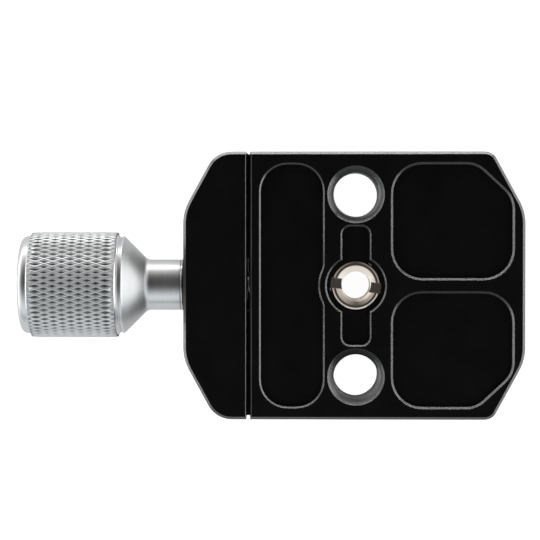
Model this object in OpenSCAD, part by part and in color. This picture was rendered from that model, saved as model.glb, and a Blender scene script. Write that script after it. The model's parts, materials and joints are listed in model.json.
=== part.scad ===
// Dovetail quick release clamp with a screw driven jaw, lying on its jaws with the mounting face up.
// The frame starts on the central thread, in the plane of the mounting face: X runs along the clamping
// screw, Y along the dovetail channel and Z out of the mounting face. Every size is in millimetres.

/* [Clamp] */
// Length of the body and the jaw along the channel
clamp_length = 50; // [44:1:80]
// Thickness of the base between the mounting face and the channel floor
base_thickness = 11.5; // [10:0.5:16]
// Thickness of each jaw, measured across the channel
jaw_thickness = 11.75; // [10:0.25:16]
// Opening between the body and the moving jaw as the clamp lies here
jaw_gap = 0.75; // [0.3:0.05:3]

/* [Dovetail channel] */
// Opening between the two lips when the clamp is closed
lip_opening = 32; // [28:0.5:36]
// Width of the channel at its floor when the clamp is closed
floor_width = 39.5; // [38:0.5:44]
// Height of the straight wall above the channel floor
wall_height = 3; // [2:0.25:5]
// Height of the straight lip above the slope
lip_height = 2.25; // [1.5:0.25:4]

/* [Outline] */
// Corner cut, measured across the channel
corner_cut_x = 6.1; // [3:0.1:8]
// Corner cut, measured along the channel
corner_cut_y = 11.2; // [6:0.1:13]
// Radius where a corner cut meets the side
side_radius = 9; // [2:0.5:12]
// Radius where a corner cut meets the end of the jaw
jaw_end_radius = 5; // [1:0.5:6]
// Radius where a corner cut meets the end of the body
body_end_radius = 2.5; // [1:0.5:6]
// Chamfer around the mounting face and around the jaw tops
edge_chamfer = 0.5; // [0.2:0.1:1]
// Chamfer on the body's side of the gap and on the lips
gap_chamfer = 0.3; // [0.2:0.05:0.8]
// Broken edge on the jaw's side of the gap
jaw_edge = 0.12; // [0.1:0.02:0.6]

/* [Pockets in the mounting face] */
// Depth of the weight saving pockets
pocket_depth = 1.5; // [0.8:0.1:2.5]
// Chamfer around the side pockets
rim_chamfer = 0.4; // [0.2:0.1:0.8]
// Chamfer around the long pocket and the keyhole
fine_chamfer = 0.3; // [0.2:0.05:0.6]
// Wall left between a pocket and the outline
pocket_wall = 2.4; // [1.2:0.1:4]
// Wall left between the long pocket and the gap
gap_wall = 2; // [1.2:0.1:4]
// Radius in the corners of the side pockets
side_pocket_radius = 5.4; // [2:0.2:7]
// Distance from the central thread to the side pockets
side_pocket_start = 6.9; // [6:0.1:9]
// Rib between the two side pockets
middle_rib = 2.85; // [1.2:0.05:6]
// Cut corner of a side pocket, across and along the channel
side_pocket_cut = [6.75, 6.3];
// Width of the long pocket beside the gap
long_pocket_width = 11.6; // [9:0.05:12.5]
// Radius in the corners of the long pocket
long_pocket_radius = 5; // [2:0.5:5.5]

/* [Central keyhole] */
// Radius of the round recess about the central thread
recess_radius = 5.45; // [5.3:0.05:6]
// Depth of the recess and of its two slots
recess_depth = 1.2; // [0.6:0.1:1.5]
// Width of the two slots
keyway_width = 5.1; // [3:0.1:8]
// Wall between the slots and the countersinks of the outer threads
keyway_wall = 0.6; // [0.4:0.05:1.5]
// Ring left standing between the recess and the long pocket
recess_ring = 1.6; // [0.8:0.1:2.2]
// Radius where the long pocket bows around that ring
bow_radius = 3; // [1:0.5:5]

/* [Threads] */
// Distance from the end of the body to each outer thread
outer_thread_inset = 8; // [7:0.5:10]
// Bore of the outer threads
outer_thread_bore = 8.3; // [6:0.1:9]
// Countersink of the outer threads
outer_thread_entry = 1.2; // [0.5:0.1:1.5]
// Outside diameter of the threaded bushing
bushing_diameter = 9.5; // [8:0.1:10]
// Bore of the threaded bushing
bushing_bore = 5.3; // [4:0.1:6]
// Countersink in the face of the bushing: how far it widens the bore
bushing_entry = 1.1; // [0.3:0.1:1.2]
// Depth of that countersink
bushing_entry_depth = 0.4; // [0.3:0.05:1.2]
// Width of the slot across the bushing
bushing_slot = 1.93; // [1:0.01:2.5]
// Turn of the slot about the thread axis, in degrees
bushing_turn = -7; // [-90:1:90]

/* [Clamping screw] */
// Thread diameter of the clamping screw
screw_diameter = 5; // [4:0.5:6]
// Length of the screw inside the body
screw_reach = 11.25; // [9:0.25:12]
// Depth of the head of the screw below the end of the knurl
screw_head_depth = 1.5; // [1:0.1:2]
// Outside diameter of the return spring
spring_diameter = 9.6; // [8.5:0.1:10]
// Wire diameter of the return spring
spring_wire = 0.9; // [0.6:0.1:1]
// Turns of the return spring
spring_turns = 6; // [5:1:6]
// Diameter of the two guide pins
guide_pin_diameter = 4; // [3:0.5:4.5]
// Length of each guide pin inside the body
guide_pin_grip = 10; // [6:0.5:14]
// Length of the tongue that runs in the jaw
tongue_length = 3; // [2:0.5:3.5]

/* [Knob] */
// Diameter over the knurl
knob_diameter = 20; // [16:0.5:24]
// Length of the knurl
knurl_length = 16.2; // [12:0.2:20]
// Diamonds around the knob
knurl_count = 60; // [36:1:64]
// Rows of half diamonds along the knob
knurl_rows = 10; // [6:2:24]
// Depth of the knurl
knurl_depth = 0.45; // [0.2:0.05:0.6]
// Length of the plain band at the end of the knob
end_band = 2; // [1.5:0.1:3]
// Rounding of the knob end
end_round = 1.2; // [0.5:0.1:1.4]
// Diameter of the stem
stem_diameter = 9.54; // [8:0.02:12]
// Length of the stem from its washer to the foot of the cone
stem_length = 6.35; // [5:0.05:10]

/* [Hidden] */

// Clearances
sliding_fit = 0.1;
pin_fit = 0.05;
press_fit = 0.01;
thread_fit = 0.03;
turning_fit = 0.02;
spring_room = 0.35;
spring_seat_room = 0.25;
end_room = 0.2;
past = 0.5;

// Positions that follow from the sizes above
half_length = clamp_length / 2;
floor_x = floor_width / 2;
lip_x = lip_opening / 2;
body_side_x = floor_x + jaw_thickness;
jaw_face_x = -floor_x - jaw_gap;
jaw_side_x = jaw_face_x - jaw_thickness;
wall_z = base_thickness + wall_height;
slope_z = wall_z + floor_x - lip_x;
clamp_height = slope_z + lip_height;
outer_thread_y = half_length - outer_thread_inset;
outer_entry_radius = outer_thread_bore / 2 + outer_thread_entry;
keyway_half = outer_thread_y - outer_entry_radius - keyway_wall;
keyway_radius = 1.5;
long_pocket_x = -floor_x + gap_wall;
corner_steps = 8;

// The screw, the pins and the tongue share one height
axis_z = -0.59 * base_thickness;
tongue_height = 0.54 * base_thickness;
tongue_tip_x = -floor_x - tongue_length;
groove_depth = tongue_length + jaw_gap + end_room;
guide_pin_y = 0.58 * half_length;
guide_pin_tip_x = -floor_x - 0.7 * jaw_thickness;
guide_pin_root_x = -floor_x + guide_pin_grip;
pin_hole_depth = jaw_face_x - guide_pin_tip_x + jaw_gap + end_room;

// The spring stands in a counterbore of the jaw and a shallow one of the body
spring_seat_x = jaw_face_x - 0.52 * jaw_thickness;
body_seat_depth = 1.2;
body_seat_x = -floor_x + body_seat_depth;
screw_bore_x = -floor_x + screw_reach + 1.5;

// Stack from the jaw to the knob
slip_washer_thickness = 0.3;
steel_washer_thickness = 0.4;
slip_washer_x = jaw_side_x - slip_washer_thickness;
steel_washer_x = slip_washer_x - turning_fit - steel_washer_thickness;
cone_foot_x = steel_washer_x - stem_length;
band_step = 0.77;
collar_step = 0.83;
collar_width = 0.3;
groove_width = 0.6;
knurl_relief = 0.4;
knob_radius = knob_diameter / 2;
band_radius = knob_radius - band_step;
stem_radius = stem_diameter / 2;
collar_radius = knob_radius - collar_step;
cone_top_x = cone_foot_x - (collar_radius - stem_radius);
groove_x = cone_top_x - collar_width;
knurl_end_x = groove_x - groove_width - knurl_relief;
knurl_start_x = knurl_end_x - knurl_length;
knob_end_x = knurl_start_x - end_band;

black_finish = [0.1, 0.1, 0.11];
silver_finish = [0.8, 0.81, 0.82];
steel_finish = [0.7, 0.68, 0.65];

// One rounded corner of an outline, moved inwards by d; a corner is [x, y, radius]
function corner_points(before, here, after, d) =
    let (
        at = [here.x, here.y],
        u = unit([before.x, before.y] - at),
        v = unit([after.x, after.y] - at),
        half = acos(u * v) / 2,
        inwards = unit(u + v) / sin(half),
        r = here[2]
    )
    r == 0 ? [at + inwards * d] :
    let (
        middle = at + inwards * r,
        start = at + u * r / tan(half) - middle,
        sweep = 180 - 2 * half
    )
    [for (i = [0 : corner_steps]) middle + turned(start, sweep * i / corner_steps) * (r - d) / r];

function unit(v) = v / norm(v);

function turned(v, angle) =
    [v.x * cos(angle) - v.y * sin(angle), v.x * sin(angle) + v.y * cos(angle)];

function outline(corners, d) =
    let (n = len(corners))
    [for (i = [0 : n - 1])
        each corner_points(corners[(i + n - 1) % n], corners[i], corners[(i + 1) % n], d)];

function arc(middle, r, from, to, steps) =
    [for (i = [0 : steps]) let (a = from + (to - from) * i / steps) middle + r * [cos(a), sin(a)]];

// The same outline at several heights, with as many points in each layer
module stacked(layers, heights) {
    n = len(layers[0]);
    points = [for (k = [0 : len(heights) - 1]) for (p = layers[k]) [p.x, p.y, heights[k]]];
    sides = [for (k = [0 : len(heights) - 2]) for (i = [0 : n - 1])
        [(k + 1) * n + i, (k + 1) * n + (i + 1) % n, k * n + (i + 1) % n, k * n + i]];
    polyhedron(
        points,
        concat([[for (i = [0 : n - 1]) i]], sides, [[for (i = [n - 1 : -1 : 0]) (len(heights) - 1) * n + i]])
    );
}

// Block with chamfers around the mounting face and around the jaw tops
module chamfered_block(corners) {
    stacked(
        [for (d = [edge_chamfer, 0, 0, edge_chamfer]) outline(corners, d)],
        [-clamp_height, -clamp_height + edge_chamfer, -edge_chamfer, 0]
    );
}

// Tool that cuts a pocket and its rim chamfer
module pocket_tool(corners, depth, rim) {
    stacked([for (d = [0, 0, -rim - past]) outline(corners, d)], [-depth, -rim, past]);
}

// Section across the channel, drawn in X and Z and run along Y
module along_channel(points, length) {
    rotate([90, 0, 0])
        linear_extrude(length, center = true)
            polygon(points);
}

// Profile of radius and X position turned about the screw axis
module about_screw(profile, sides = 64) {
    translate([0, 0, axis_z])
        rotate([0, 90, 0])
            rotate_extrude($fn = sides)
                polygon(profile);
}

module screw_cylinder(radius, from_x, to_x, y = 0) {
    translate([from_x, y, axis_z])
        rotate([0, 90, 0])
            cylinder(h = to_x - from_x, r = radius, $fn = 48);
}

module clamp_body() {
    reach = floor_x + tongue_length;
    color(black_finish)
    difference() {
        union() {
            intersection() {
                chamfered_block([
                    [-reach, -half_length, 0],
                    [body_side_x - corner_cut_x, -half_length, body_end_radius],
                    [body_side_x, -half_length + corner_cut_y, side_radius],
                    [body_side_x, half_length - corner_cut_y, side_radius],
                    [body_side_x - corner_cut_x, half_length, body_end_radius],
                    [-reach, half_length, 0]
                ]);
                body_section();
            }
            tongue();
        }
        side_pockets();
        long_pocket();
        keyhole();
        outer_threads();
        bushing_hole();
        screw_cylinder(screw_diameter / 2 + thread_fit, -reach - past, screw_bore_x);
        screw_cylinder(spring_diameter / 2 + spring_seat_room, -reach - past, body_seat_x);
        for (side = [-1, 1])
            screw_cylinder(
                guide_pin_diameter / 2 + press_fit,
                -reach - past,
                guide_pin_root_x + end_room,
                side * guide_pin_y
            );
    }
}

// Base and fixed jaw, from the gap to the far side
module body_section() {
    side = body_side_x + 1;
    along_channel([
        [-floor_x, -gap_chamfer],
        [-floor_x + gap_chamfer, 0],
        [side, 0],
        [side, -clamp_height],
        [lip_x + gap_chamfer, -clamp_height],
        [lip_x, -clamp_height + gap_chamfer],
        [lip_x, -slope_z],
        [floor_x, -wall_z],
        [floor_x, -base_thickness],
        [-floor_x + gap_chamfer, -base_thickness],
        [-floor_x, -base_thickness + gap_chamfer]
    ], clamp_length + 2);
}

// Tongue that closes the gap below its edges, open in the middle for the spring
module tongue() {
    opening = spring_diameter + 2 * spring_room - 0.2;
    difference() {
        translate([tongue_tip_x, -half_length + 0.5, axis_z - tongue_height / 2])
            cube([tongue_length + 1, clamp_length - 1, tongue_height]);
        translate([tongue_tip_x - 1, -opening / 2, axis_z - tongue_height])
            cube([tongue_length + 1, opening, 2 * tongue_height]);
    }
}

module side_pockets() {
    near_x = side_pocket_start;
    far_x = body_side_x - pocket_wall;
    near_y = middle_rib / 2;
    far_y = half_length - pocket_wall;
    for (side = [0, 1])
        mirror([0, side, 0])
            pocket_tool([
                [near_x, near_y, side_pocket_radius],
                [far_x, near_y, side_pocket_radius],
                [far_x, far_y - side_pocket_cut.y, side_pocket_radius - 0.6],
                [far_x - side_pocket_cut.x, far_y, side_pocket_radius - 0.6],
                [near_x, far_y, side_pocket_radius]
            ], pocket_depth, rim_chamfer);
}

// Outline of the long pocket, moved inwards by d; it bows around the ring of the central recess
function long_pocket_outline(d) =
    let (
        far_x = long_pocket_x + long_pocket_width,
        end_y = half_length - pocket_wall,
        lower = outline([
            [long_pocket_x, -end_y, long_pocket_radius],
            [far_x, -end_y, long_pocket_radius],
            [far_x, 0, 0],
            [long_pocket_x, 0, 0]
        ], d),
        round = [for (i = [0 : 2 * corner_steps + 1]) lower[i]],
        back = len(round) - 1
    )
    concat(
        round,
        ring_bow(far_x, d),
        [for (i = [back : -1 : 0]) [round[i].x, -round[i].y]]
    );

// The bow itself: a blend, the arc around the ring and a second blend
function ring_bow(far_x, d) =
    let (
        ring = recess_radius + recess_ring,
        middle_x = far_x - bow_radius,
        reach = ring + bow_radius
    )
    ring <= -far_x ? [] :
    let (
        angle = acos(-middle_x / reach),
        middle_y = reach * sin(angle)
    )
    concat(
        arc([middle_x, -middle_y], bow_radius - d, 0, angle, corner_steps),
        [for (i = [1 : 2 * corner_steps - 1])
            let (a = 180 + angle - angle * i / corner_steps)
            (ring + d) * [cos(a), sin(a)]],
        arc([middle_x, middle_y], bow_radius - d, -angle, 0, corner_steps)
    );

module long_pocket() {
    stacked(
        [for (d = [0, 0, -fine_chamfer - past]) long_pocket_outline(d)],
        [-pocket_depth, -fine_chamfer, past]
    );
}

module keyhole() {
    pocket_tool([
        [-keyway_width / 2, -keyway_half, keyway_radius],
        [keyway_width / 2, -keyway_half, keyway_radius],
        [keyway_width / 2, keyway_half, keyway_radius],
        [-keyway_width / 2, keyway_half, keyway_radius]
    ], recess_depth, fine_chamfer);
    translate([0, 0, -recess_depth])
        cylinder(h = recess_depth, r = recess_radius, $fn = 96);
    translate([0, 0, -fine_chamfer])
        cylinder(
            h = fine_chamfer + past, r1 = recess_radius, r2 = recess_radius + fine_chamfer + past, $fn = 96
        );
}

module outer_threads() {
    bore = outer_thread_bore / 2;
    for (side = [-1, 1])
        translate([0, side * outer_thread_y, 0]) {
            translate([0, 0, -base_thickness - 1])
                cylinder(h = base_thickness + 2, r = bore, $fn = 64);
            translate([0, 0, -outer_thread_entry])
                cylinder(h = outer_thread_entry + past, r1 = bore, r2 = outer_entry_radius + past, $fn = 64);
            translate([0, 0, -base_thickness - past])
                cylinder(h = 0.6 + past, r1 = bore + 0.6 + past, r2 = bore, $fn = 64);
        }
}

module bushing_hole() {
    translate([0, 0, -base_thickness - 1])
        cylinder(h = base_thickness + 2, r = bushing_diameter / 2 + thread_fit, $fn = 64);
}

module moving_jaw() {
    inner_lip_x = jaw_face_x + floor_x - lip_x;
    color(black_finish)
    difference() {
        intersection() {
            chamfered_block([
                [jaw_side_x + corner_cut_x, half_length, jaw_end_radius],
                [jaw_side_x, half_length - corner_cut_y, side_radius],
                [jaw_side_x, -half_length + corner_cut_y, side_radius],
                [jaw_side_x + corner_cut_x, -half_length, jaw_end_radius],
                [inner_lip_x + 2, -half_length, 0],
                [inner_lip_x + 2, half_length, 0]
            ]);
            jaw_section(inner_lip_x);
        }
        tongue_groove();
        screw_cylinder(screw_diameter / 2 + pin_fit, jaw_side_x - 1, jaw_face_x + 1);
        screw_cylinder(spring_diameter / 2 + spring_room, spring_seat_x, jaw_face_x + past);
        for (side = [-1, 1])
            screw_cylinder(
                guide_pin_diameter / 2 + pin_fit,
                jaw_face_x - pin_hole_depth,
                jaw_face_x + past,
                side * guide_pin_y
            );
    }
}

module jaw_section(inner_lip_x) {
    side = jaw_side_x - 1;
    along_channel([
        [jaw_face_x, -jaw_edge],
        [jaw_face_x - jaw_edge, 0],
        [side, 0],
        [side, -clamp_height],
        [inner_lip_x - gap_chamfer, -clamp_height],
        [inner_lip_x, -clamp_height + gap_chamfer],
        [inner_lip_x, -slope_z],
        [jaw_face_x, -wall_z]
    ], clamp_length + 2);
}

module tongue_groove() {
    height = tongue_height + 2 * sliding_fit;
    translate([jaw_face_x - groove_depth, -half_length - 1, axis_z - height / 2])
        cube([groove_depth + 1, clamp_length + 2, height]);
}

module thread_bushing() {
    outside = bushing_diameter / 2;
    bore = bushing_bore / 2;
    top = -recess_depth - 0.1;
    bottom = -base_thickness + 0.2;
    edge = 0.3;
    color(steel_finish)
    difference() {
        rotate_extrude($fn = 64)
            polygon([
                [bore, bottom + edge],
                [bore + edge, bottom],
                [outside - edge, bottom],
                [outside, bottom + edge],
                [outside, top - edge],
                [outside - edge, top],
                [bore + bushing_entry, top],
                [bore, top - bushing_entry_depth]
            ]);
        rotate([0, 0, bushing_turn])
            translate([-outside - 1, -bushing_slot / 2, top - 1.2])
                cube([2 * outside + 2, bushing_slot, 2]);
    }
}

module guide_pin(side) {
    radius = guide_pin_diameter / 2;
    color(steel_finish)
    translate([0, side * guide_pin_y, 0])
        about_screw([
            [0, guide_pin_tip_x],
            [radius - 0.4, guide_pin_tip_x],
            [radius, guide_pin_tip_x + 0.4],
            [radius, guide_pin_root_x],
            [0, guide_pin_root_x]
        ], 48);
}

module guide_pin_plus_y() {
    guide_pin(1);
}

module guide_pin_minus_y() {
    guide_pin(-1);
}

module clamp_screw() {
    radius = screw_diameter / 2;
    tip_x = -floor_x + screw_reach;
    head_x = knurl_end_x - screw_head_depth;
    color(steel_finish)
    about_screw([
        [0, head_x],
        [radius, head_x],
        [radius, tip_x - 0.6],
        [radius - 0.6, tip_x],
        [0, tip_x]
    ], 48);
}

// Closed coil at each end, open coils between them
module return_spring() {
    wire = spring_wire / 2;
    middle_radius = spring_diameter / 2 - wire;
    length = body_seat_x - spring_seat_x;
    steps = 18;
    sides = 6;
    count = spring_turns * steps;
    open_pitch = (length - 3 * spring_wire - 0.1) / (spring_turns - 2);
    function along(turn) =
        spring_seat_x + wire + 0.05
        + min(turn, 1) * spring_wire
        + max(0, min(turn - 1, spring_turns - 2)) * open_pitch
        + max(0, turn - spring_turns + 1) * spring_wire;
    points = [for (k = [0 : count]) for (s = [0 : sides - 1])
        let (
            turn = k / steps,
            r = middle_radius + wire * cos(s * 360 / sides),
            angle = turn * 360 + 90
        )
        [along(turn) + wire * sin(s * 360 / sides), r * cos(angle), axis_z + r * sin(angle)]];
    tube = [for (k = [0 : count - 1]) for (s = [0 : sides - 1])
        let (a = k * sides + s, b = k * sides + (s + 1) % sides)
        each [[a, b, b + sides], [a, b + sides, a + sides]]];
    color(steel_finish)
    polyhedron(
        points,
        concat(
            [[for (s = [sides - 1 : -1 : 0]) s]],
            tube,
            [[for (s = [0 : sides - 1]) count * sides + s]]
        )
    );
}

module slip_washer() {
    bore = screw_diameter / 2 + pin_fit;
    radius = stem_radius + 0.15;
    color(black_finish)
    about_screw([[bore, slip_washer_x], [radius, slip_washer_x], [radius, jaw_side_x], [bore, jaw_side_x]]);
}

module steel_washer() {
    bore = screw_diameter / 2 + pin_fit;
    radius = stem_radius + 0.12;
    bevel = 0.2;
    color(steel_finish)
    about_screw([
        [bore, steel_washer_x],
        [radius - bevel, steel_washer_x],
        [radius, steel_washer_x + bevel],
        [radius, steel_washer_x + steel_washer_thickness],
        [bore, steel_washer_x + steel_washer_thickness]
    ]);
}

module clamp_knob() {
    blend = 1.5;
    groove_floor = collar_radius - groove_width / 2;
    bore = screw_diameter / 2 + press_fit;
    color(silver_finish)
    difference() {
        union() {
            about_screw(concat(
                [[0, knob_end_x]],
                [for (a = [0 : 15 : 90]) [
                    band_radius - end_round + end_round * sin(a),
                    knob_end_x + end_round - end_round * cos(a)
                ]],
                [
                    [band_radius, groove_x - groove_width],
                    [groove_floor, groove_x - groove_width / 2],
                    [collar_radius, groove_x],
                    [collar_radius, cone_top_x]
                ],
                [for (a = [45 : -9 : 0]) [
                    stem_radius + blend - blend * cos(a),
                    cone_foot_x + blend * (0.414 - sin(a))
                ]],
                [
                    [stem_radius, steel_washer_x - 0.3],
                    [stem_radius - 0.3, steel_washer_x],
                    [0, steel_washer_x]
                ]
            ), 72);
            knurl();
        }
        screw_cylinder(bore, knurl_end_x - screw_head_depth - 0.1, steel_washer_x + 1);
    }
}

// Diamond knurl: ridges cross at the peaks and leave a pit in each diamond between them
module knurl() {
    around = 2 * knurl_count;
    valley = knob_radius - knurl_depth;
    rows = knurl_rows;
    points = [for (j = [0 : rows]) for (i = [0 : around - 1])
        let (
            raised = (i + j) % 2 == 0 && j > 0 && j < rows,
            r = raised ? knob_radius : valley,
            angle = i * 360 / around
        )
        [knurl_start_x + j * knurl_length / rows, r * cos(angle), axis_z + r * sin(angle)]];
    faces = [for (j = [0 : rows - 1]) for (i = [0 : around - 1])
        let (
            a = j * around + i,
            b = j * around + (i + 1) % around,
            c = b + around,
            d = a + around
        )
        each ((i + j) % 2 == 0 ? [[c, b, a], [d, c, a]] : [[d, b, a], [d, c, b]])];
    polyhedron(
        points,
        concat(
            [[for (i = [0 : around - 1]) i]],
            faces,
            [[for (i = [around - 1 : -1 : 0]) rows * around + i]]
        )
    );
}

clamp_body();
moving_jaw();
thread_bushing();
guide_pin_plus_y();
guide_pin_minus_y();
clamp_screw();
return_spring();
slip_washer();
steel_washer();
clamp_knob();
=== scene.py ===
import json
import math

import bmesh
import bpy
from mathutils import Matrix, Vector

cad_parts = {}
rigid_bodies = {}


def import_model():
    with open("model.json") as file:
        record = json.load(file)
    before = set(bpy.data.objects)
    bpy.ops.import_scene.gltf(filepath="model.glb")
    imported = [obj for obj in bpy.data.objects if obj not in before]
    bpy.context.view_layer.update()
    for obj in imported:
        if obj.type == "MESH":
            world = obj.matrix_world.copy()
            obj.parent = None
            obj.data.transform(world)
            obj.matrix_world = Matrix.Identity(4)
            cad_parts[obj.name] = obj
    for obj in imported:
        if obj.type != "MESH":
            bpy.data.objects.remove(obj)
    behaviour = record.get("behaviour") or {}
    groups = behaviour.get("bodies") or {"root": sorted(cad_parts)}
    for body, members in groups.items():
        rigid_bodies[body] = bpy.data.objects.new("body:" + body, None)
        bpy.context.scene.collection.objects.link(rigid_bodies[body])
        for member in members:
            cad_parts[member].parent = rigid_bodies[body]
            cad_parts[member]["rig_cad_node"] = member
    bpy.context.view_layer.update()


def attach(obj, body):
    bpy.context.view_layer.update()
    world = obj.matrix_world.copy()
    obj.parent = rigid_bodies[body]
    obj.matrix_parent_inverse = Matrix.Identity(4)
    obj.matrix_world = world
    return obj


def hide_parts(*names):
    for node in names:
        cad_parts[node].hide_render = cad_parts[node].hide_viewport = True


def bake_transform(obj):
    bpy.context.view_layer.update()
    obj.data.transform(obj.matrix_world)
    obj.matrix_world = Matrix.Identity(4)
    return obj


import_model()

mm = 0.001
axisZ = -6.785  # height of the screw's axis, in millimetres
mergeGap = 0.0008
cadMergeGap = 0.001
planeGap = 0.0001
sharpAngle = 28
bevelSamples = 4
alongScrew = Matrix.Translation((0, 0, axisZ)) @ Matrix.Rotation(math.radians(90), 4, "Y")


def tell(text):
    print("stage:", text)


# Shader helpers

def addNode(tree, kind, inputs=None, **settings):
    node = tree.nodes.new(kind)
    for key, value in settings.items():
        setattr(node, key, value)
    for key, value in (inputs or {}).items():
        socket = node.inputs[key]
        if isinstance(value, bpy.types.NodeSocket):
            tree.links.new(value, socket)
        else:
            socket.default_value = value
    return node


def maths(tree, operation, first, second=0.0, third=0.0):
    node = addNode(tree, "ShaderNodeMath", operation=operation)
    for socket, value in zip(node.inputs, (first, second, third)):
        if isinstance(value, bpy.types.NodeSocket):
            tree.links.new(value, socket)
        else:
            socket.default_value = value
    return node.outputs[0]


def remap(tree, value, low, high, toLow, toHigh):
    return addNode(tree, "ShaderNodeMapRange", {
        "Value": value, "From Min": low, "From Max": high, "To Min": toLow, "To Max": toHigh,
    }).outputs["Result"]


def blended(tree, factor, first, second, **settings):
    return addNode(tree, "ShaderNodeMix", {
        "Factor": factor, "A": first, "B": second}, data_type="RGBA", **settings).outputs["Result"]


def newGroup(name, inputs, outputs):
    tree = bpy.data.node_groups.new(name, "ShaderNodeTree")
    for label, kind, value in inputs:
        socket = tree.interface.new_socket(label, in_out="INPUT", socket_type=kind)
        if value is not None:
            socket.default_value = value
    for label, kind in outputs:
        tree.interface.new_socket(label, in_out="OUTPUT", socket_type=kind)
    return tree, tree.nodes.new("NodeGroupInput").outputs, tree.nodes.new("NodeGroupOutput").inputs


def useGroup(tree, group, inputs=None):
    return addNode(tree, "ShaderNodeGroup", inputs, node_tree=group).outputs


# Fine blasted grain: a normal, a slow mask that varies the sheen, and sparse specks
blasting = {"pitch": 6500.0, "height": 0.25, "depth": 0.00004, "detail": 3.0, "cellPitch": 0.6, "cellWeight": 0.35,
            "fineRoughness": 0.6, "patches": 170.0, "patchDetail": 4.0, "patchRoughness": 0.65,
            "patchRange": (0.3, 0.7), "specks": 2600.0, "speckDetail": 1.0, "speckRange": (0.72, 0.8)}


def makeGrainGroup(look):
    tree, given, made = newGroup("blastedGrain", [
        ("Normal", "NodeSocketVector", None),
        ("Grain", "NodeSocketFloat", look["pitch"]),
        ("Height", "NodeSocketFloat", look["height"]),
    ], [("Normal", "NodeSocketVector"), ("Mask", "NodeSocketFloat"), ("Speck", "NodeSocketFloat")])
    place = addNode(tree, "ShaderNodeTexCoord").outputs["Object"]
    fine = addNode(tree, "ShaderNodeTexNoise", {
        "Vector": place, "Scale": given["Grain"], "Detail": look["detail"],
        "Roughness": look["fineRoughness"]}).outputs["Fac"]
    cells = addNode(tree, "ShaderNodeTexVoronoi", {
        "Vector": place, "Scale": maths(tree, "MULTIPLY", given["Grain"], look["cellPitch"])}).outputs["Distance"]
    height = maths(tree, "MULTIPLY_ADD", cells, look["cellWeight"], fine)
    bump = addNode(tree, "ShaderNodeBump", {
        "Strength": given["Height"], "Distance": look["depth"], "Height": height, "Normal": given["Normal"]})
    slow = addNode(tree, "ShaderNodeTexNoise", {
        "Vector": place, "Scale": look["patches"], "Detail": look["patchDetail"],
        "Roughness": look["patchRoughness"]}).outputs["Fac"]
    tiny = addNode(tree, "ShaderNodeTexNoise", {
        "Vector": place, "Scale": look["specks"], "Detail": look["speckDetail"]}).outputs["Fac"]
    tree.links.new(bump.outputs["Normal"], made["Normal"])
    tree.links.new(remap(tree, slow, *look["patchRange"], 0.0, 1.0), made["Mask"])
    tree.links.new(remap(tree, tiny, *look["speckRange"], 0.0, 1.0), made["Speck"])
    return tree


# Turning marks: rings that depend only on the place along an axis and the distance from it
turningMarks = {"pitch": 9000.0, "height": 0.2, "depth": 0.00002, "detail": 2.0, "broad": 1400.0,
                "broadDetail": 3.0, "broadWeight": 0.8, "ringRange": (0.3, 0.7)}


def makeTurningGroup(name, axis, centre, look):
    tree, given, made = newGroup(name, [
        ("Normal", "NodeSocketVector", None),
        ("Pitch", "NodeSocketFloat", look["pitch"]),
        ("Height", "NodeSocketFloat", look["height"]),
    ], [("Normal", "NodeSocketVector"), ("Rings", "NodeSocketFloat"), ("Radius", "NodeSocketFloat")])
    place = addNode(tree, "ShaderNodeTexCoord").outputs["Object"]
    parts = addNode(tree, "ShaderNodeSeparateXYZ", {"Vector": place}).outputs
    across = {"X": ("Y", "Z"), "Z": ("X", "Y")}[axis]
    first = maths(tree, "SUBTRACT", parts[across[0]], centre[0])
    second = maths(tree, "SUBTRACT", parts[across[1]], centre[1])
    radius = maths(tree, "SQRT", maths(tree, "MULTIPLY_ADD", first, first, maths(tree, "MULTIPLY", second, second)))
    ring = addNode(tree, "ShaderNodeCombineXYZ", {"X": parts[axis], "Y": radius}).outputs[0]
    lines = addNode(tree, "ShaderNodeTexNoise", {
        "Vector": ring, "Scale": given["Pitch"], "Detail": look["detail"]}).outputs["Fac"]
    broad = addNode(tree, "ShaderNodeTexNoise", {
        "Vector": ring, "Scale": look["broad"], "Detail": look["broadDetail"]}).outputs["Fac"]
    bump = addNode(tree, "ShaderNodeBump", {
        "Strength": given["Height"], "Distance": look["depth"],
        "Height": maths(tree, "MULTIPLY_ADD", broad, look["broadWeight"], lines), "Normal": given["Normal"]})
    tree.links.new(bump.outputs["Normal"], made["Normal"])
    tree.links.new(remap(tree, broad, *look["ringRange"], 0.0, 1.0), made["Rings"])
    tree.links.new(radius, made["Radius"])
    return tree


# How much a face leans between level and upright, which picks out the chamfers
leanRange = {"upright": (0.25, 0.45), "level": (0.85, 0.97)}


def makeLeanGroup(look):
    tree, given, made = newGroup("chamferMask", [], [("Mask", "NodeSocketFloat")])
    normal = addNode(tree, "ShaderNodeTexCoord").outputs["Normal"]
    upright = maths(tree, "ABSOLUTE", addNode(tree, "ShaderNodeSeparateXYZ", {"Vector": normal}).outputs["Z"])
    low = remap(tree, upright, *look["upright"], 0.0, 1.0)
    high = remap(tree, upright, *look["level"], 1.0, 0.0)
    tree.links.new(maths(tree, "MULTIPLY", low, high), made["Mask"])
    return tree


grain = makeGrainGroup(blasting)
turnedOnX = makeTurningGroup("turnedOnScrew", "X", (0.0, axisZ * mm), turningMarks)
turnedOnZ = makeTurningGroup("turnedOnThread", "Z", (0.0, 0.0), turningMarks)
lean = makeLeanGroup(leanRange)


def newFinish(name):
    finish = bpy.data.materials.new(name)
    finish.use_nodes = True
    tree = finish.node_tree
    return finish, tree, tree.nodes["Principled BSDF"]


def roundedNormal(tree, radius):
    return addNode(tree, "ShaderNodeBevel", {"Radius": radius * mm}, samples=bevelSamples).outputs["Normal"]


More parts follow.
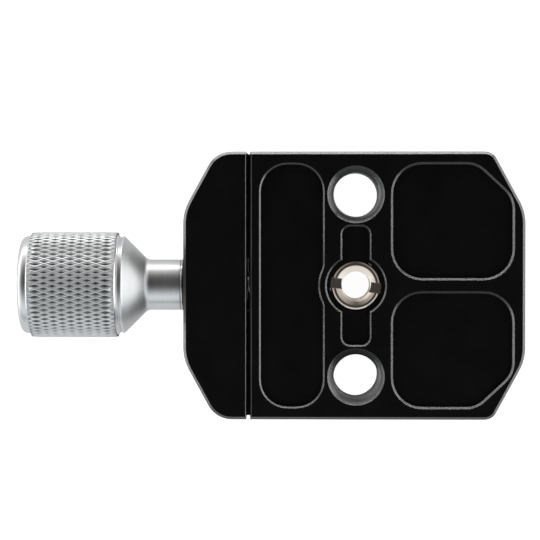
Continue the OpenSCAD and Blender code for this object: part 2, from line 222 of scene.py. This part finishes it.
# Black anodising: a deep face, and chamfers with the metal's sheen
blackLook = {
    "deep": (0.0010, 0.0010, 0.0011, 1.0), "worn": (0.0022, 0.0022, 0.0023, 1.0),
    "speck": (0.02, 0.02, 0.021, 1.0), "speckShare": 0.5, "rough": (0.28, 0.33), "ior": 1.4,
    "edge": 0.06, "grain": 0.3, "chamfer": {"tint": (0.17, 0.17, 0.17, 1.0), "smoother": -0.06},
}


def makeBlasted(name, look):
    finish, tree, shader = newFinish(name)
    blasted = useGroup(tree, grain, {"Normal": roundedNormal(tree, look["edge"]), "Height": look["grain"]})
    tint = blended(tree, blasted["Mask"], look["deep"], look["worn"])
    colour = blended(tree, maths(tree, "MULTIPLY", blasted["Speck"], look["speckShare"]), tint, look["speck"])
    rough = remap(tree, blasted["Mask"], 0.0, 1.0, *look["rough"])
    if "chamfer" in look:
        leaning = useGroup(tree, lean)["Mask"]
        colour = blended(tree, leaning, colour, look["chamfer"]["tint"])
        rough = maths(tree, "MULTIPLY_ADD", leaning, look["chamfer"]["smoother"], rough)
        tree.links.new(leaning, shader.inputs["Metallic"])
    tree.links.new(colour, shader.inputs["Base Color"])
    tree.links.new(rough, shader.inputs["Roughness"])
    tree.links.new(blasted["Normal"], shader.inputs["Normal"])
    shader.inputs["IOR"].default_value = look["ior"]
    return finish


def placeOnScrew(tree):
    place = addNode(tree, "ShaderNodeTexCoord").outputs["Object"]
    return addNode(tree, "ShaderNodeSeparateXYZ", {"Vector": place}).outputs["X"]


# The knurl, between two places along the screw: painted shade in its pits, darker with depth, and rougher all over
def addPaintedPitShade(tree, pits, radius, colour, rough):
    along = placeOnScrew(tree)
    inside = maths(tree, "MULTIPLY", maths(tree, "GREATER_THAN", along, pits["ends"][0]),
                   maths(tree, "LESS_THAN", along, pits["ends"][1]))
    # Painted shade: the colour is multiplied darker the deeper a point lies in the pits
    depth = remap(tree, radius, pits["deep"], pits["clear"], 1.0, 0.0)
    colour = blended(tree, maths(tree, "MULTIPLY", depth, inside), colour, (*[pits["shade"]] * 3, 1.0),
                     blend_type="MULTIPLY")
    return colour, maths(tree, "MULTIPLY_ADD", inside, pits["rough"], rough)


# A band along the screw that is rougher than the rest
def addSatin(tree, satin, rough):
    along = placeOnScrew(tree)
    rising = remap(tree, along, *satin["start"], 0.0, satin["extra"])
    falling = remap(tree, along, *satin["end"], 1.0, 0.0)
    return maths(tree, "ADD", rough, maths(tree, "MULTIPLY", rising, falling))


def makeTurnedMetal(name, look, turning):
    finish, tree, shader = newFinish(name)
    rings = useGroup(tree, turning, {
        "Normal": roundedNormal(tree, look["edge"]), "Pitch": look["pitch"], "Height": look["turn"]})
    blasted = useGroup(tree, grain, {"Normal": rings["Normal"], "Height": look["grain"]})
    mix = maths(tree, "MULTIPLY_ADD", rings["Rings"], 0.5, maths(tree, "MULTIPLY", blasted["Mask"], 0.5))
    colour = blended(tree, mix, look["dark"], look["light"])
    rough = remap(tree, mix, 0.0, 1.0, *look["rough"])
    if "pits" in look:
        colour, rough = addPaintedPitShade(tree, look["pits"], rings["Radius"], colour, rough)
    if "satin" in look:
        rough = addSatin(tree, look["satin"], rough)
    tree.links.new(colour, shader.inputs["Base Color"])
    tree.links.new(rough, shader.inputs["Roughness"])
    tree.links.new(blasted["Normal"], shader.inputs["Normal"])
    shader.inputs["Metallic"].default_value = 1.0
    return finish


silverLook = {
    "dark": (0.74, 0.755, 0.765, 1.0), "light": (0.84, 0.85, 0.855, 1.0), "rough": (0.26, 0.34),
    "edge": 0.05, "pitch": 7000.0, "turn": 0.12, "grain": 0.16,
    "satin": {"start": (-0.0438, -0.0434), "end": (-0.0396, -0.0386), "extra": 0.15},
    # The knurl's pits get painted shade, darker with depth, and extra roughness
    "pits": {"ends": (-0.0612, -0.045), "deep": 0.00976, "clear": 0.0099, "shade": 0.24, "rough": 0.09},
}
nickelLook = {
    "dark": (0.87, 0.74, 0.63, 1.0), "light": (0.99, 0.92, 0.84, 1.0), "rough": (0.11, 0.2),
    "edge": 0.05, "pitch": 8000.0, "turn": 0.25, "grain": 0.06,
}
steelLook = {
    "dark": (0.66, 0.64, 0.62, 1.0), "light": (0.84, 0.82, 0.8, 1.0), "rough": (0.03, 0.08),
    "edge": 0.04, "pitch": 9000.0, "turn": 0.04, "grain": 0.01,
}
nylonLook = {
    "deep": (0.003, 0.003, 0.003, 1.0), "worn": (0.006, 0.006, 0.006, 1.0),
    "speck": (0.02, 0.02, 0.021, 1.0), "speckShare": 0.5, "rough": (0.6, 0.65), "ior": 1.4, "edge": 0.06, "grain": 0.2,
}

blackAnodised = makeBlasted("blackAnodised", blackLook)
silverAnodised = makeTurnedMetal("silverAnodised", silverLook, turnedOnX)
nickel = makeTurnedMetal("turnedNickel", nickelLook, turnedOnZ)
steel = makeTurnedMetal("groundSteel", steelLook, turnedOnX)
nylon = makeBlasted("blackNylon", nylonLook)
tell("finishes made")


# Modelling helpers; meshes are built in millimetres

# Rounds the corners of an outline; each corner is (radius, height, rounding)
def eased(corners, steps=4):
    outline = []
    count = len(corners)
    for i, (radius, height, rounding) in enumerate(corners):
        here = Vector((radius, height))
        if not rounding:
            outline.append(here)
            continue
        back = (Vector(corners[i - 1][:2]) - here).normalized()
        ahead = (Vector(corners[(i + 1) % count][:2]) - here).normalized()
        half = back.angle(ahead) / 2
        centre = here + (back + ahead).normalized() * rounding / math.sin(half)
        start = here + back * rounding / math.tan(half) - centre
        end = here + ahead * rounding / math.tan(half) - centre
        outline += [centre + start.slerp(end, k / steps).normalized() * rounding for k in range(steps + 1)]
    return outline


def revolved(corners, steps=96, closed=True, easing=4):
    bm = bmesh.new()
    verts = [bm.verts.new((p.x, 0, p.y)) for p in eased(corners, easing)]
    pairs = list(zip(verts, verts[1:])) + ([(verts[-1], verts[0])] if closed else [])
    edges = [bm.edges.new(pair) for pair in pairs]
    bmesh.ops.spin(bm, geom=verts + edges, cent=(0, 0, 0), axis=(0, 0, 1),
                   angle=math.tau, steps=steps, use_merge=True)
    bmesh.ops.remove_doubles(bm, verts=bm.verts, dist=mergeGap)
    bmesh.ops.recalc_face_normals(bm, faces=bm.faces)
    return bm


rootShare = 0.14  # share of the pitch at each side that lies at the root


# A rod with a right-hand thread, level at both ends; "flat" is the crest's share of the pitch
def threadedRod(thread, low, high):
    bm = bmesh.new()
    pitch, steps, root, crest = (thread[key] for key in ("pitch", "steps", "root", "crest"))
    flat = thread["flat"] / 2
    marks = [(root, 0), (root, rootShare), (crest, 0.5 - flat), (crest, 0.5 + flat), (root, 1 - rootShare), (root, 1)]
    verts = [bm.verts.new((r, 0, low + pitch * (share - 2))) for r, share in marks]
    edges = [bm.edges.new(pair) for pair in zip(verts, verts[1:])]
    turns = math.ceil((high - low) / pitch) + 3
    bmesh.ops.spin(bm, geom=verts + edges, cent=(0, 0, 0), axis=(0, 0, 1), dvec=(0, 0, pitch / steps),
                   angle=math.tau * turns, steps=steps * turns, use_merge=False)
    bmesh.ops.remove_doubles(bm, verts=bm.verts, dist=mergeGap)
    for level, side in ((low, -1), (high, 1)):
        bmesh.ops.bisect_plane(bm, geom=bm.verts[:] + bm.edges[:] + bm.faces[:], dist=planeGap,
                               plane_co=(0, 0, level), plane_no=(0, 0, side), clear_outer=True)
    bmesh.ops.holes_fill(bm, edges=[e for e in bm.edges if e.is_boundary], sides=0)
    bmesh.ops.recalc_face_normals(bm, faces=bm.faces)
    return bm


def tempObject(bm):
    mesh = bpy.data.meshes.new("temp")
    bm.to_mesh(mesh)
    bm.free()
    obj = bpy.data.objects.new("temp", mesh)
    bpy.context.scene.collection.objects.link(obj)
    return obj


def carved(bm, cutters):
    base = tempObject(bm)
    tools = [tempObject(cutter) for cutter in cutters]
    for tool in tools:
        cut = base.modifiers.new("cut", "BOOLEAN")
        cut.operation, cut.solver, cut.object = "DIFFERENCE", "EXACT", tool
    bpy.context.view_layer.update()
    result = bmesh.new()
    result.from_object(base, bpy.context.evaluated_depsgraph_get())
    for obj in [base] + tools:
        mesh = obj.data
        bpy.data.objects.remove(obj)
        bpy.data.meshes.remove(mesh)
    return result


def cadCopy(node):
    source = next(o for o in bpy.context.scene.objects if o.get("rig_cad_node") == node)
    bm = bmesh.new()
    bm.from_mesh(source.data)
    bm.transform(Matrix.Scale(1 / mm, 4))
    bmesh.ops.remove_doubles(bm, verts=bm.verts, dist=cadMergeGap)
    bmesh.ops.recalc_face_normals(bm, faces=bm.faces)
    return bm


def placed(bm, matrix):
    bm.transform(matrix)
    return bm


def finishPiece(piece, bm, finish, blendTo=None):
    bmesh.ops.recalc_face_normals(bm, faces=bm.faces)
    bm.transform(Matrix.Scale(mm, 4))
    mesh = bpy.data.meshes.new(piece["name"])
    bm.to_mesh(mesh)
    bm.free()
    for extra in ("custom_normal", "sharp_edge", "sharp_face"):
        if extra in mesh.attributes:
            mesh.attributes.remove(mesh.attributes[extra])
    mesh.materials.clear()
    mesh.materials.append(finish)
    mesh.shade_smooth()
    mesh.set_sharp_from_angle(angle=math.radians(piece.get("sharp", sharpAngle)))
    obj = bpy.data.objects.new(piece["name"], mesh)
    bpy.context.scene.collection.objects.link(obj)
    if "weighted" in piece:
        weighted = obj.modifiers.new("weighted", "WEIGHTED_NORMAL")
        weighted.keep_sharp, weighted.weight = True, piece["weighted"]
    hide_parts(piece["node"])
    if blendTo:
        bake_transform(obj)
    else:
        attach(obj, piece["body"])
    tell(f"{piece['name']}: {len(mesh.polygons)} faces")
    return obj


# The body, with real threads in its two outer holes
body = {
    "name": "bodyLook", "node": "clamp_body", "body": "body", "slot": "black_aluminium", "weighted": 90, "sharp": 24,
    "thread": {"pitch": 1.5875, "root": 3.95, "crest": 4.72, "flat": 0.14, "steps": 56},
    "threadY": 17.0, "threadLow": -12.6, "threadHigh": 0.8,
}


def makeBody(b):
    cutters = [placed(threadedRod(b["thread"], b["threadLow"], b["threadHigh"]),
                      Matrix.Translation((0, side * b["threadY"], 0))) for side in (1, -1)]
    return finishPiece(b, carved(cadCopy(b["node"]), cutters), blackAnodised)


# The moving jaw
jaw = {
    "name": "jawLook", "node": "moving_jaw", "body": "jaw", "slot": "black_aluminium", "weighted": 90, "sharp": 24,
}


def makeJaw(j):
    return finishPiece(j, cadCopy(j["node"]), blackAnodised)


# The slotted bushing with its 1/4 inch thread
bushing = {
    "name": "bushingLook", "node": "thread_bushing", "body": "body", "slot": "nickel_steel",
    "radius": 4.75, "bore": 2.65, "top": -1.3, "foot": -11.3, "sink": 3.75, "sinkDepth": 0.5, "chamfer": 0.3,
    "lip": 4.15, "lipDrop": 0.11,
    "slotLength": 13.5, "slotWidth": 1.93, "slotDepth": 1.2, "slotTurn": -7, "overrun": 1, "sharp": 22,
    "thread": {"pitch": 1.27, "root": 2.5, "crest": 3.14, "flat": 0.14, "steps": 48},
}


def makeBushing(b):
    ring = revolved([
        (b["radius"] - b["chamfer"], b["foot"], 0.05), (b["radius"], b["foot"] + b["chamfer"], 0.05),
        (b["radius"], b["top"] - b["chamfer"] - b["lipDrop"], 0.05),
        (b["radius"] - b["chamfer"], b["top"] - b["lipDrop"], 0.04), (b["lip"], b["top"], 0.03),
        (b["sink"], b["top"], 0.04), (b["bore"], b["top"] - b["sinkDepth"], 0.05),
        (b["bore"], b["foot"] + b["chamfer"], 0), (b["bore"] + b["chamfer"], b["foot"], 0.05),
    ], steps=128, easing=3)
    slotTool = bmesh.new()
    size = Matrix.Diagonal((b["slotLength"], b["slotWidth"], 2 * b["slotDepth"], 1))
    bmesh.ops.create_cube(slotTool, size=1, matrix=Matrix.Translation((0, 0, b["top"]))
                          @ Matrix.Rotation(math.radians(b["slotTurn"]), 4, "Z") @ size)
    threads = threadedRod(b["thread"], b["foot"] - b["overrun"], b["top"] + b["overrun"])
    return finishPiece(b, carved(ring, [threads, slotTool]), nickel)


# The clamping screw
screw = {
    "name": "screwLook", "node": "clamp_screw", "body": "knob", "slot": "steel", "tip": -8.5, "head": -46.52,
    "thread": {"pitch": 0.8, "root": 2.05, "crest": 2.49, "flat": 0.56, "steps": 32},
}


def makeScrew(s):
    rod = placed(threadedRod(s["thread"], s["head"], s["tip"]), alongScrew)
    return finishPiece(s, rod, steel)


# The return spring: closed coils at both ends and open ones between
spring = {
    "name": "springLook", "node": "return_spring", "slot": "steel", "low": -26.6, "high": -18.56, "outer": 4.79,
    "wire": 0.9, "steps": 40, "turns": 6, "sides": 14, "phase": 35, "closed": 1.01,
}


def makeSpring(s):
    bm = bmesh.new()
    centre = s["outer"] - s["wire"] / 2
    begin = s["low"] + s["wire"] / 2
    wireEnd = Matrix.Translation((centre, 0, begin)) @ Matrix.Rotation(math.radians(90), 4, "X")
    ring = bmesh.ops.create_circle(bm, cap_ends=True, radius=s["wire"] / 2, segments=s["sides"], matrix=wireEnd)
    loop = ring["verts"] + list({e for v in ring["verts"] for e in v.link_edges})
    closedPitch = s["wire"] * s["closed"]
    openPitch = (s["high"] - s["low"] - s["wire"] - 2 * closedPitch) / (s["turns"] - 2)
    for turns, pitch in ((1, closedPitch), (s["turns"] - 2, openPitch), (1, closedPitch)):
        swept = bmesh.ops.spin(bm, geom=loop, cent=(0, 0, 0), axis=(0, 0, 1), dvec=(0, 0, pitch / s["steps"]),
                               angle=math.tau * turns, steps=s["steps"] * turns, use_merge=False)
        loop = [g for g in swept["geom_last"] if not isinstance(g, bmesh.types.BMFace)]
    bmesh.ops.remove_doubles(bm, verts=bm.verts, dist=mergeGap)
    bmesh.ops.holes_fill(bm, edges=[e for e in bm.edges if e.is_boundary], sides=0)
    placed(bm, alongScrew @ Matrix.Rotation(math.radians(s["phase"]), 4, "Z"))
    start, end = (Vector((s[key] * mm, 0, axisZ * mm)) for key in ("high", "low"))
    return finishPiece(s, bm, steel, ("body", "jaw", start, end))


# The two ground guide pins
pin = {"slot": "steel", "body": "body", "radius": 2.0, "low": -27.975, "high": -9.75, "ease": 0.45, "y": 14.5}


def makePin(p, sign, name, node):
    rod = revolved([(0, p["low"], 0), (p["radius"], p["low"], p["ease"]), (p["radius"], p["high"], p["ease"]),
                    (0, p["high"], 0)], steps=64, closed=False, easing=6)
    placed(rod, Matrix.Translation((0, sign * p["y"], 0)) @ alongScrew)
    return finishPiece({**p, "name": name, "node": node}, rod, steel)


# The washers between the jaw and the knob
washers = [
    {"name": "slipWasherLook", "node": "slip_washer", "body": "jaw", "slot": "black_plastic", "outer": 4.92,
     "inner": 2.75, "low": -32.55, "high": -32.25, "ease": 0.06, "bevel": 0.08},
    {"name": "steelWasherLook", "node": "steel_washer", "body": "knob", "slot": "steel", "outer": 4.89,
     "inner": 2.75, "low": -32.97, "high": -32.57, "ease": 0.04, "bevel": 0.2},
]


def makeWasher(w, finish):
    bevel = w["bevel"]
    ring = revolved([
        (w["inner"], w["low"], w["ease"]), (w["outer"] - bevel, w["low"], 0), (w["outer"], w["low"] + bevel, 0),
        (w["outer"], w["high"], w["ease"]), (w["inner"], w["high"], w["ease"]),
    ], steps=96, easing=3)
    return finishPiece(w, placed(ring, alongScrew), finish)


# The knob: a turned core, and a sleeve whose knurl has ridges that cross between pits
knob = {
    "name": "knobLook", "node": "clamp_knob", "body": "knob", "slot": "silver_aluminium", "sharp": 26,
    "end": -63.22, "endRound": 1.2, "band": 9.23, "knurlStart": -61.22, "knurlEnd": -45.02, "rim": 9.9,
    "peak": 10.0, "around": 60, "rows": 10, "core": 9.5,
    "grooveLow": -44.62, "grooveHigh": -44.02, "grooveRoot": 8.87, "collar": 9.17,
    "coneTop": -43.72, "coneFoot": -39.32, "footRound": 1.5, "stem": 4.77, "stemEnd": -32.97,
    "bore": 2.6, "boreEnd": -46.6, "ridge": 0.17, "ridgeDrop": 0.05, "pitWall": 0.17, "pitDrop": 0.19,
    "tuck": 0.2,
}


# A grid is rolled up and joined into diamonds; all are inset once, and the whole ones once more
def knurledSleeve(k):
    bm = bmesh.new()
    around, rows = 2 * k["around"], k["rows"]
    bmesh.ops.create_grid(bm, x_segments=around, y_segments=rows, size=0.5)
    parity = bm.verts.layers.int.new("parity")
    length = k["knurlEnd"] - k["knurlStart"]
    for v in bm.verts:
        column, row = round((v.co.x + 0.5) * around), round((v.co.y + 0.5) * rows)
        v[parity] = (column + row) % 2
        angle = math.tau * column / around
        r = k["peak"] if 0 < row < rows else k["rim"]
        v.co = (r * math.cos(angle), r * math.sin(angle), k["knurlStart"] + length * row / rows)
    bmesh.ops.remove_doubles(bm, verts=bm.verts, dist=mergeGap)
    bmesh.ops.connect_verts(bm, verts=[v for v in bm.verts if v[parity] == 0])
    bmesh.ops.dissolve_verts(bm, verts=[v for v in bm.verts if v[parity] == 1])
    bmesh.ops.recalc_face_normals(bm, faces=bm.faces)
    bm.normal_update()
    sample = next(iter(bm.faces))
    middle = sample.calc_center_median()
    if sample.normal.dot(Vector((middle.x, middle.y, 0))) < 0:
        bmesh.ops.reverse_faces(bm, faces=bm.faces)
    rims = [e for e in bm.edges if e.is_boundary]
    whole = [f for f in bm.faces if len(f.verts) == 4]
    for faces, width, drop in ((bm.faces[:], k["ridge"], k["ridgeDrop"]), (whole, k["pitWall"], k["pitDrop"])):
        bmesh.ops.inset_individual(bm, faces=faces, thickness=width, depth=-drop, use_even_offset=True)
    ends = bmesh.ops.extrude_edge_only(bm, edges=rims)["geom"]
    inner = k["band"] - k["tuck"]
    for v in (g for g in ends if isinstance(g, bmesh.types.BMVert)):
        shrink = inner / math.hypot(v.co.x, v.co.y)
        v.co.x, v.co.y = v.co.x * shrink, v.co.y * shrink
    bmesh.ops.bridge_loops(bm, edges=[g for g in ends if isinstance(g, bmesh.types.BMEdge) and g.is_boundary])
    return bm


def makeKnob(k):
    step = k["core"] - k["band"]
    core = revolved([
        (0, k["end"], 0), (k["band"], k["end"], k["endRound"]), (k["band"], k["knurlStart"] - step, 0.04),
        (k["core"], k["knurlStart"], 0), (k["core"], k["knurlEnd"], 0), (k["band"], k["knurlEnd"] + step, 0.04),
        (k["band"], k["grooveLow"], 0.06), (k["grooveRoot"], (k["grooveLow"] + k["grooveHigh"]) / 2, 0.04),
        (k["collar"], k["grooveHigh"], 0.06), (k["collar"], k["coneTop"], 0.1),
        (k["stem"], k["coneFoot"], k["footRound"]), (k["stem"], k["stemEnd"], 0.12),
        (k["bore"], k["stemEnd"], 0.08), (k["bore"], k["boreEnd"], 0), (0, k["boreEnd"], 0),
    ], steps=120, closed=False, easing=7)
    sleeve = knurledSleeve(k)
    carrier = bpy.data.meshes.new("temp")
    sleeve.to_mesh(carrier)
    sleeve.free()
    core.from_mesh(carrier)
    bpy.data.meshes.remove(carrier)
    return finishPiece(k, placed(core, alongScrew), silverAnodised)


makeBody(body)
makeJaw(jaw)
makeBushing(bushing)
makeScrew(screw)
makeSpring(spring)
makePin(pin, 1, "pinPlusY", "guide_pin_plus_y")
makePin(pin, -1, "pinMinusY", "guide_pin_minus_y")
makeWasher(washers[0], nylon)
makeWasher(washers[1], steel)
makeKnob(knob)


# Floor, world and lamps: a dark sky overhead, bright horizon and white ground
setting = {
    "floorZ": -0.0207, "floorSize": 6.0, "floorGlow": 0.93, "floorSheen": 0.38,
    "floorColour": (0.62, 0.62, 0.62, 1.0),
    "skyDark": (0.047, 0.044, 0.042, 1.0), "skyLow": (0.80, 0.84, 0.86, 1.0), "skyFar": (0.93, 0.91, 0.90, 1.0),
    "darkAxis": (0.0, 0.284, 0.959), "darkEdge": 0.9, "brightEdge": 0.35, "darkCorner": -0.5,
    "sideGain": 1.32, "sideRange": (0.45, 0.9), "rimRange": (-0.5, 0.5),
    "nearBand": 0.25, "nearRange": (-0.75, -0.35), "nearHeight": (0.05, 0.3),
}


def makeFloor(s):
    bm = bmesh.new()
    bmesh.ops.create_grid(bm, x_segments=1, y_segments=1, size=s["floorSize"] / 2)
    mesh = bpy.data.meshes.new("floor")
    bm.to_mesh(mesh)
    bm.free()
    obj = bpy.data.objects.new("floor", mesh)
    obj.location = (0, 0, s["floorZ"])
    bpy.context.scene.collection.objects.link(obj)
    finish = bpy.data.materials.new("whiteGround")
    finish.use_nodes = True
    tree = finish.node_tree
    tree.nodes.clear()
    rays = addNode(tree, "ShaderNodeLightPath").outputs
    sheen = maths(tree, "MULTIPLY", rays["Is Glossy Ray"], s["floorSheen"])
    strength = maths(tree, "MULTIPLY_ADD", rays["Is Camera Ray"], s["floorGlow"], sheen)
    glow = addNode(tree, "ShaderNodeEmission", {"Strength": strength})
    matte = addNode(tree, "ShaderNodeBsdfDiffuse", {"Color": s["floorColour"]})
    both = addNode(tree, "ShaderNodeAddShader")
    tree.links.new(glow.outputs[0], both.inputs[0])
    tree.links.new(matte.outputs[0], both.inputs[1])
    addNode(tree, "ShaderNodeOutputMaterial", {"Surface": both.outputs[0]})
    mesh.materials.append(finish)


def makeWorld(s):
    world = bpy.data.worlds.new("studio")
    bpy.context.scene.world = world
    world.use_nodes = True
    tree = world.node_tree
    tree.nodes.clear()
    way = addNode(tree, "ShaderNodeTexCoord").outputs["Generated"]
    parts = addNode(tree, "ShaderNodeSeparateXYZ", {"Vector": way}).outputs
    northward = parts["Y"]
    toDark = addNode(tree, "ShaderNodeVectorMath", {
        0: way, 1: s["darkAxis"]}, operation="DOT_PRODUCT").outputs["Value"]
    corner = maths(tree, "ABSOLUTE", maths(tree, "MULTIPLY", parts["X"], northward))
    toDark = maths(tree, "MULTIPLY_ADD", corner, s["darkCorner"], toDark)
    rim = blended(tree, remap(tree, northward, *s["rimRange"], 0.0, 1.0), s["skyLow"], s["skyFar"])
    glow = blended(tree, remap(tree, toDark, s["darkEdge"], s["brightEdge"], 0.0, 1.0), s["skyDark"], rim)
    sideways = remap(tree, maths(tree, "ABSOLUTE", parts["X"]), *s["sideRange"], 1.0, s["sideGain"])
    low = remap(tree, maths(tree, "ABSOLUTE", parts["Z"]), *s["nearHeight"], s["nearBand"], 1.0)
    near = remap(tree, northward, *s["nearRange"], 1.0, 0.0)
    band = addNode(tree, "ShaderNodeMix", {"Factor": near, "A": 1.0, "B": low}).outputs["Result"]
    sky = addNode(tree, "ShaderNodeVectorMath", {
        "Vector": glow, "Scale": maths(tree, "MULTIPLY", sideways, band)}, operation="SCALE").outputs["Vector"]
    seen = blended(tree, addNode(tree, "ShaderNodeLightPath").outputs["Is Camera Ray"], sky, (1, 1, 1, 1))
    shown = addNode(tree, "ShaderNodeBackground", {"Color": seen})
    addNode(tree, "ShaderNodeOutputWorld", {"Surface": shown.outputs[0]})


# Long strips, which draw the bright lines along the edges
lamps = [
    {"name": "backStrip", "place": (-0.01, 0.32, -0.002), "size": (0.6, 0.034), "radiance": 5.3},
    {"name": "leftStrip", "place": (-0.36, 0.03, -0.002), "size": (0.5, 0.034), "radiance": 3.4},
    {"name": "rightStrip", "place": (0.34, 0.02, 0.02), "size": (0.5, 0.075), "radiance": 1.9},
]
lampColour = (1, 0.99, 0.98)


def makeLamp(lamp):
    data = bpy.data.lights.new(lamp["name"], "AREA")
    data.shape, data.size, data.size_y = "RECTANGLE", *lamp["size"]
    data.energy = lamp["radiance"] * math.pi * lamp["size"][0] * lamp["size"][1]
    data.color = lampColour
    obj = bpy.data.objects.new(lamp["name"], data)
    place = Vector(lamp["place"])
    level = Vector((-place.x, 0, 0)) if abs(place.x) > abs(place.y) else Vector((0, -place.y, 0))
    obj.location = place
    obj.rotation_mode = "QUATERNION"
    obj.rotation_quaternion = level.to_track_quat("-Z", "Y")
    bpy.context.scene.collection.objects.link(obj)


# The camera of the photograph, which looks almost straight down on the mounting face
lens = {"place": (-0.00666, 0.01073, 0.390), "aim": (-0.01602, 0.00293, 0.0), "focal": 139.6, "sensor": 36.0,
        "near": 0.01, "far": 20}


def makeCamera(c):
    data = bpy.data.cameras.new("camera")
    data.lens, data.sensor_width, data.clip_start, data.clip_end = c["focal"], c["sensor"], c["near"], c["far"]
    obj = bpy.data.objects.new("camera", data)
    back = (Vector(c["place"]) - Vector(c["aim"])).normalized()
    right = Vector((0, 1, 0)).cross(back).normalized()
    turn = Matrix((right, back.cross(right), back)).transposed()
    obj.matrix_world = Matrix.Translation(c["place"]) @ turn.to_4x4()
    bpy.context.scene.collection.objects.link(obj)
    bpy.context.scene.camera = obj


makeFloor(setting)
makeWorld(setting)
for lamp in lamps:
    makeLamp(lamp)
makeCamera(lens)
bpy.context.scene.view_settings.view_transform = "Standard"
tell("stage set")
